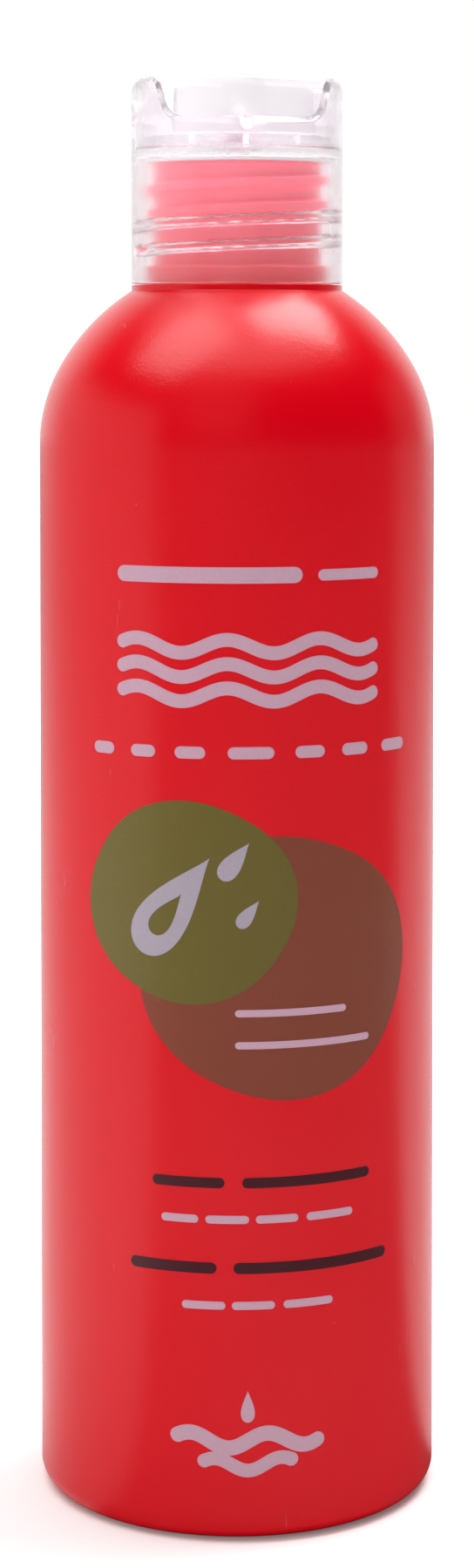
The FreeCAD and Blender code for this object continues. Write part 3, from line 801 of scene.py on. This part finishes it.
def cap_columns(cap, notch_count=120, back_count=200):
    """Angle and height of each column at the rim, outside and inside, and its angle lower down.
    Notch columns follow the outline; back columns are evenly spaced round the back."""
    columns = {}
    for which, radius, path in zip(("in", "out"), (cap.well_radius, cap.radius),
                                   notch_paths(cap, notch_count)):
        turn = np.arcsin(np.clip(path[:, 0] / radius, -1, 1)) - math.pi / 2
        back = np.linspace(turn[-1], turn[0] + TURN, back_count + 2)[1:-1]
        columns[f"{which}_angle"] = np.concatenate([turn, back])
        columns[f"{which}_height"] = np.append(path[:, 1], np.full(back_count, cap.top))
    columns["base"] = columns["in_angle"].copy()
    columns["base"][:notch_count] = np.linspace(*columns["base"][[0, notch_count - 1]],
                                                notch_count)
    return columns


def wall_rows(columns, which, low, radius_at, count=30, rise=0.12 * MM):
    """Rows of the cap's upper wall from a level line up to the rim: angle and height both slide
    from the base values to the rim's, and the radius follows the wall's own section."""
    share = np.linspace(0.0, 1.0, count)[1:, None]
    angle = columns["base"] + (columns[f"{which}_angle"] - columns["base"]) * share ** 1.3
    height = low + (columns[f"{which}_height"][None, :] - rise - low) * share
    radius = radius_at(height)
    return joined(radius * np.cos(angle), radius * np.sin(angle), height)


def round_shoulder(cap, height):
    """Radius of the outer wall at a height: straight, then a quarter round at the top edge."""
    over = np.clip((height - (cap.top - cap.edge + 0.06 * MM)) / cap.edge, 0, 0.985)
    return cap.radius - cap.edge * (1 - np.sqrt(1 - over ** 2))


def cap_shell(cap, pitch):
    """All rows of the cap body as one closed ring of rows: outer skirt, wall, rim, inner wall,
    deck, ring wall, hollow spout seat, bore, deck underside and threaded skirt."""
    columns = cap_columns(cap)
    base = columns["base"]
    knee = 176.0 * MM
    outer = rounded([(cap.skirt_inner + 0.5 * MM, cap.foot), (cap.radius, cap.foot, 0.25 * MM),
                     (cap.radius, knee)], spacing=1.2 * MM)
    out_wall = wall_rows(columns, "out", knee, lambda height: round_shoulder(cap, height))
    in_wall = wall_rows(columns, "in", knee, lambda height: np.full_like(height, cap.well_radius))
    in_wall = in_wall[::-1]
    u = np.linspace(0.0, 1.0, 9)[1:-1, None, None]
    swell = 0.12 * MM * (1 - np.abs(2 * u - 1) ** 3)
    rim = out_wall[-1][None] * (1 - u) + in_wall[0][None] * u + swell * np.array([0.0, 0.0, 1.0])
    deck, under = cap.deck_top, cap.deck_low
    well = rounded([
        (cap.well_radius, knee - 0.2 * MM), (cap.well_radius, deck, 0.3 * MM),
        (cap.ring_outer, deck, 0.15 * MM), (cap.ring_outer, cap.seat_top, 0.15 * MM),
        (cap.ring_inner, cap.seat_top, 0.15 * MM), (cap.ring_inner, deck, 0.25 * MM),
        (cap.seat_radius, deck, 0.3 * MM), (cap.seat_radius, cap.seat_top, 0.12 * MM),
        (cap.bore, cap.seat_top, 0.1 * MM), (cap.bore, under, 0.15 * MM),
        (cap.skirt_inner, under, 0.3 * MM), (cap.skirt_inner, under - 1.0 * MM)],
        spacing=0.6 * MM, steps=5)
    well_rows = lathe(well, base)
    # the seat's top is hollowed to the nozzle's round underside
    on_seat = (well[:, 0] < cap.seat_radius + 0.05 * MM)[:, None] & (
        well_rows[..., 2] > deck + 0.35 * MM)
    hollow = cap.pivot - np.sqrt((4.25 * MM) ** 2 - well_rows[..., 1] ** 2 * on_seat)
    well_rows[..., 2] = np.where(on_seat, np.minimum(well_rows[..., 2], hollow), well_rows[..., 2])
    heights = np.linspace(under - 1.0 * MM, cap.foot + 0.9 * MM, 110)[1:]
    ridge = thread_ridge(heights, base, cap, (1.05 * MM, 0.6 * MM), 0.2 * MM, pitch)
    skirt_rows = lathe(joined(np.full_like(heights, cap.skirt_inner), heights), base, -ridge)
    hem = rounded([(cap.skirt_inner, cap.foot + 0.8 * MM), (cap.skirt_inner, cap.foot, 0.25 * MM),
                   (cap.skirt_inner + 0.45 * MM, cap.foot)], spacing=0.3 * MM)
    return np.concatenate([lathe(outer, base), out_wall, rim, in_wall, well_rows, skirt_rows,
                           lathe(hem, base)])


class SHAMPOO_OT_cap(bpy.types.Operator):
    """Cap body: one closed grid of rows, joined with its posts and gussets, less the pin holes."""
    bl_idname = "shampoo.cap"
    bl_label = "Build the cap body"

    def execute(self, context):
        cap = context.scene.cap_sizes
        plastic = clear_material("translucent_cap", context.scene.print_colours.clear, 0.2, 0.96)
        grid = cap_shell(cap, context.scene.bottle_sizes.pitch)
        body = put_mesh("cap_shell", [skin(grid, ring=True)], plastic, smooth_angle=50.0)
        posts, holes = [], []
        for side in (-1, 1):
            outline = closed_loop([(side * x * MM, y * MM, 0.2 * MM) for x, y in
                                   ((10.4, -1.5), (12.9, -1.5), (12.9, 1.5), (10.4, 1.5))])
            posts.append(prism(outline, cap.deck_top - 0.3 * MM, cap.pivot - 1.6 * MM, 0.2 * MM,
                               joined))
            ends = sorted((side * 9.0 * MM, side * 13.35 * MM))
            holes.append(prism(circle(0.0, cap.pivot, cap.pin_hole), *ends, 0.05 * MM, along_x))
        low, high = cap.deck_top - 0.2 * MM, cap.deck_top + 1.5 * MM
        outline = closed_loop([(9.1 * MM, low, 0.05 * MM), (11.2 * MM, low, 0.05 * MM),
                               (11.2 * MM, high, 0.1 * MM), (10.9 * MM, high, 0.1 * MM)])
        for turn in (-cap.gusset_turn, 0.0, cap.gusset_turn):
            c, s = math.cos(turn - math.pi / 2), math.sin(turn - math.pi / 2)
            posts.append(prism(outline, -0.35 * MM, 0.35 * MM, 0.08 * MM, lambda r, z, w: joined(
                r * c - w * s, r * s + w * c, z)))
        combine(body, posts, "UNION", 50.0)
        combine(body, holes, "DIFFERENCE", 50.0)
        finish_piece(body, "cap", "cap_clear", "cap_body")
        return {"FINISHED"}


def disc_plate(disc, pivot):
    """Plate of the disc: a profile turned about the axis with a rim on the ball about the pivot,
    lowered at the back by a finger dip, z = top - depth + R - sqrt(R^2 - d^2)."""
    top, under = disc.top, disc.top - disc.thickness
    rim_low, rim_top = (math.sqrt(disc.ball ** 2 - (z - pivot) ** 2) for z in (under, top))
    profile = rounded([(0.0, under), (rim_low, under, 0.15 * MM), (rim_top, top, 0.3 * MM),
                       (0.0, top)], spacing=0.25 * MM, steps=6)
    grid = lathe(profile, np.linspace(0.0, TURN, 160, endpoint=False))
    off = np.hypot(grid[..., 0], grid[..., 1] - disc.dip_back)
    ball = disc.dip_ball
    dip = disc.dip_depth - ball + np.sqrt(np.clip(ball ** 2 - off ** 2, 0, None))
    # the dip's edge is softened, and it fades out towards the rim
    dip = 0.5 * (dip + np.sqrt(dip ** 2 + (0.08 * MM) ** 2))
    fade = np.clip((11.2 * MM - np.hypot(grid[..., 0], grid[..., 1])) / MM, 0, 1)
    grid[..., 2] -= np.where(grid[..., 2] > (top + under) / 2, dip * fade, 0.0)
    return skin(grid, pole_first=True, pole_last=True)


class SHAMPOO_OT_disc(bpy.types.Operator):
    """Press disc: a turned plate with a finger dip, joined with its curved front panel, lugs,
    pivot pins and nozzle, less the bent duct."""
    bl_idname = "shampoo.disc"
    bl_label = "Build the press disc"

    def execute(self, context):
        disc, pivot = context.scene.disc_sizes, context.scene.cap_sizes.pivot
        plastic = clear_material("translucent_disc", context.scene.print_colours.clear, 0.3, 0.62)
        plate = put_mesh("press_disc_shell", [disc_plate(disc, pivot)], plastic)
        lap = disc.top - disc.thickness + 0.2 * MM
        # front panel, outer face on the ball: r = sqrt(ball^2 - (z - pivot)^2)
        z = np.linspace(disc.panel_foot, lap, 24)
        section = np.concatenate([
            joined(np.sqrt(disc.ball ** 2 - (z - pivot) ** 2), z),
            joined(np.full_like(z, disc.panel_inner), z)[::-1]])
        bend = 12 * MM
        ends = [bend * (turn - math.pi / 2) for turn in (-disc.panel_turn / 2, disc.panel_turn / 2)]
        parts = [prism(section, *ends, 0.15 * MM, lambda r, h, w: joined(
            r * np.cos(w / bend), r * np.sin(w / bend), h), 60)]
        # lugs and pivot pins
        half, soft = disc.pin_radius, 0.1 * MM
        lug = closed_loop([(-half, pivot, soft), (half, pivot, soft), (half, lap, soft),
                           (-half, lap, soft)])
        pin = circle(0.0, pivot, half)
        for side in (-1, 1):
            for outline, near, far, bevel in ((lug, 9.6, 11.6, 0.15), (pin, 9.62, 13.25, 0.2)):
                ends = sorted((side * near * MM, side * far * MM))
                parts.append(prism(outline, *ends, bevel * MM, along_x))
        # nozzle: round underside about the pivot, then a bar to the front panel
        under = arc((0.0, pivot), disc.seat, 0, -125, 26)
        front = -11.7 * MM
        nozzle = np.concatenate([under, rounded([
            tuple(under[-1]), (front, disc.panel_foot, soft), (front, lap, soft),
            (disc.seat, lap, soft), (disc.seat, pivot)], spacing=0.5 * MM)[1:-1]])
        parts.append(prism(nozzle, -2.6 * MM, 2.6 * MM, 0.2 * MM, along_x))
        combine(plate, parts, "UNION")
        # duct: one leg slopes down from the front, the other meets the cap's bore once pressed
        bores = []
        for lean, reach in ((disc.duct_front, 14 * MM), (disc.duct_back, 5.5 * MM)):
            c, s = math.cos(lean), math.sin(lean)
            bores.append(prism(circle(0.0, 0.0, disc.duct_radius, 32), -0.3 * MM, reach, 0.02 * MM,
                               lambda u, v, w: joined(u, v * c - w * s, pivot - w * c - v * s)))
        combine(plate, bores, "DIFFERENCE")
        finish_piece(plate, "disc", "disc_clear", "press_disc")
        return {"FINISHED"}


def dress_node(node, material):
    """Give a CAD node a new material in every slot."""
    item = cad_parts[node]
    item.data.materials.clear()
    item.data.materials.append(material)


class SHAMPOO_OT_liner(bpy.types.Operator):
    """Sealing liner: the foam washer's node in closed-cell foam."""
    bl_idname = "shampoo.liner"
    bl_label = "Finish the liner"

    def execute(self, context):
        material, tree, shader, place = new_material("liner_foam")
        base = context.scene.print_colours.foam
        cells = tree.add("ShaderNodeTexVoronoi", {"Vector": place, "Scale": 2600.0})
        cells = cells.outputs["Distance"]
        tree.feed(shader, {"Base Color": tree.blend(cells, tint(base, 0.93), tint(base, 1.0)),
                           "Roughness": tree.spread(cells, 0.0, 0.6, 0.6, 0.85),
                           "Normal": tree.bump(cells, 0.4, 0.1 * MM)})
        dress_node("sealing_liner", material)
        return {"FINISHED"}


class SHAMPOO_OT_fill(bpy.types.Operator):
    """Contents: the fill's node as pearly liquid with slow swirls."""
    bl_idname = "shampoo.fill"
    bl_label = "Finish the shampoo"

    def execute(self, context):
        material, tree, shader, place = new_material("pearly_shampoo")
        base = context.scene.print_colours.shampoo
        swirl = tree.add("ShaderNodeTexWave", {"Vector": place, "Scale": 18.0, "Distortion": 9.0,
                                               "Detail": 3.0}).outputs["Fac"]
        tree.feed(shader, {"Base Color": tree.blend(swirl, tint(base, 0.9), tint(base, 1.08)),
                           "Roughness": tree.spread(swirl, 0.0, 1.0, 0.08, 0.16),
                           "Subsurface Weight": 0.3, "Subsurface Scale": 2.0 * MM})
        dress_node("shampoo_fill", material)
        return {"FINISHED"}


# ------------------------------------------------------------------ stage

def softbox(name, place, size, power, glossy=True):
    """A rectangular area light that looks at the bottle's middle."""
    light = bpy.data.lights.new(name, "AREA")
    light.shape = "RECTANGLE"
    light.size, light.size_y = size
    light.energy = power
    item = bpy.data.objects.new(name, light)
    item.location = place
    x, y, z = np.array((0.0, 0.0, 0.1)) - np.array(place)
    item.rotation_euler = (math.pi / 2 + math.atan2(z, math.hypot(x, y)), 0.0,
                           math.atan2(y, x) - math.pi / 2)
    item.visible_glossy = glossy
    item.visible_camera = False
    bpy.context.scene.collection.objects.link(item)


def front_share(tree, way):
    """1 in the dim sector in front of the bottle and 0 round the rest, from a flat direction:
    the cosine of its angle to the sector's middle, taken through a smooth step."""
    middle = math.radians(22.5)
    across = tree.maths("MULTIPLY", way[0], math.sin(middle))
    ahead = tree.maths("MULTIPLY", way[1], -math.cos(middle))
    return tree.spread(tree.maths("ADD", across, ahead), 0.08, 0.36)


def pale_room():
    """World light of a pale room: white to the eye and through the cap, bright at the sides,
    behind and overhead, and dim in front, which keeps the bottle's middle a deep colour."""
    world = bpy.data.worlds.new("pale_room")
    world.use_nodes = True
    tree = Tree(world.node_tree)
    way = tree.add("ShaderNodeSeparateXYZ",
                   {0: tree.add("ShaderNodeTexCoord").outputs["Generated"]}).outputs
    lit = tree.maths("SUBTRACT", 1.0, front_share(tree, way))
    sides = tree.maths("MULTIPLY", lit, tree.spread(way[0], -0.6, 0.8, 0.76, 0.27))
    low = tree.maths("MULTIPLY", sides, tree.spread(way[2], 0.55, 0.3))
    back = tree.spread(way[1], 0.4, 0.85, 0.0, 1.1)
    ceiling = tree.spread(way[2], 0.72, 0.92, 0.0, 1.7)
    room = tree.maths("MAXIMUM", tree.maths("MAXIMUM", low, back), ceiling)
    path = tree.add("ShaderNodeLightPath").outputs
    through = tree.maths("MULTIPLY", path["Is Transmission Ray"], 1.12)
    seen = tree.maths("MAXIMUM", path["Is Camera Ray"], through)
    hidden = tree.maths("LESS_THAN", seen, 0.5)
    tree.feed(tree.tree.nodes["Background"], {
        "Strength": tree.maths("ADD", tree.maths("MULTIPLY", room, hidden), seen),
        "Color": (1.0, 1.0, 1.0, 1.0)})
    bpy.context.scene.world = world


def pale_floor():
    """A round floor, r cos a and r sin a, that glows white far from the bottle where the camera
    sees it, and looks dim in front of the bottle where the bottle mirrors it."""
    material, tree, shader, place = new_material("pale_floor")
    path = tree.add("ShaderNodeLightPath").outputs
    spot = tree.add("ShaderNodeVectorMath", {0: place}, operation="NORMALIZE").outputs[0]
    spot = tree.add("ShaderNodeSeparateXYZ", {0: spot}).outputs
    dim = tree.maths("MULTIPLY", tree.maths("MAXIMUM", front_share(tree, spot), 0.25),
                     path["Is Glossy Ray"])
    shade = tree.blend(tree.noise(place, 6.0, 2.0), (0.93, 0.93, 0.93, 1.0),
                       (0.95, 0.95, 0.95, 1.0))
    gone = tree.add("ShaderNodeVectorMath", {0: place}, operation="LENGTH").outputs["Value"]
    tree.feed(shader, {
        "Base Color": tree.blend(dim, shade, (0.08, 0.08, 0.08, 1.0)),
        "Emission Strength": tree.maths("MULTIPLY", tree.spread(gone, 0.03, 0.3, 0.12, 1.0),
                                        path["Is Camera Ray"]),
        "Emission Color": (1.0, 1.0, 1.0, 1.0), "Roughness": 0.9, "Specular IOR Level": 0.1})
    rings = joined(np.geomspace(0.01, 4.0, 24), np.zeros(24))
    grid = lathe(np.concatenate([[[0.0, 0.0]], rings]), np.linspace(0.0, TURN, 97)[:-1])
    put_mesh("stage_floor", [skin(grid, pole_first=True)], material, closed=False)


class SHAMPOO_OT_stage(bpy.types.Operator):
    """Stage: a pale floor, soft lights, a pale room and the camera."""
    bl_idname = "shampoo.stage"
    bl_label = "Set the stage"

    def execute(self, context):
        scene, studio = context.scene, context.scene.studio_settings
        pale_room()
        pale_floor()
        softbox("overhead_left", (-0.42, -0.12, 1.05), (0.55, 0.7), studio.overhead)
        softbox("overhead_right", (0.36, 0.16, 1.08), (0.5, 0.6), studio.overhead * 2.0)
        softbox("front_fill", (-0.35, -1.1, 0.75), (0.9, 0.9), studio.fill, glossy=False)
        camera = bpy.data.cameras.new("camera")
        camera.lens, camera.sensor_width, camera.shift_y = studio.lens, 36.0, studio.shift
        camera.clip_start, camera.clip_end = 0.01, 20.0
        camera.dof.use_dof = False
        item = bpy.data.objects.new("camera", camera)
        item.location = (studio.distance * math.sin(studio.azimuth),
                         -studio.distance * math.cos(studio.azimuth), studio.height)
        item.rotation_euler = (math.pi / 2 - studio.tilt, 0.0, studio.azimuth)
        scene.collection.objects.link(item)
        scene.camera = item
        scene.view_settings.view_transform = "Standard"
        return {"FINISHED"}


class SHAMPOO_PT_panel(bpy.types.Panel):
    """Sidebar panel that lists the pieces."""
    bl_idname = "SHAMPOO_PT_panel"
    bl_label = "Shampoo bottle"
    bl_space_type = "VIEW_3D"
    bl_region_type = "UI"
    bl_category = "Bottle"

    def draw(self, context):
        for operator in OPERATORS:
            self.layout.operator(operator.bl_idname)


GROUPS = {"bottle_sizes": BottleSizes, "cap_sizes": CapSizes, "disc_sizes": DiscSizes,
          "print_colours": PrintColours, "studio_settings": StudioSettings}
OPERATORS = (SHAMPOO_OT_bottle, SHAMPOO_OT_fields, SHAMPOO_OT_symbol, SHAMPOO_OT_marks,
             SHAMPOO_OT_fill, SHAMPOO_OT_liner, SHAMPOO_OT_cap, SHAMPOO_OT_disc,
             SHAMPOO_OT_stage)


def register():
    for kind in (*GROUPS.values(), *OPERATORS, SHAMPOO_PT_panel):
        bpy.utils.register_class(kind)
    for name, kind in GROUPS.items():
        setattr(bpy.types.Scene, name, bpy.props.PointerProperty(type=kind))


def unregister():
    for name in GROUPS:
        delattr(bpy.types.Scene, name)
    for kind in reversed((*GROUPS.values(), *OPERATORS, SHAMPOO_PT_panel)):
        bpy.utils.unregister_class(kind)


def main():
    register()
    for operator in OPERATORS:
        group, name = operator.bl_idname.split(".")
        getattr(getattr(bpy.ops, group), name)()


if __name__ == "__main__":
    main()
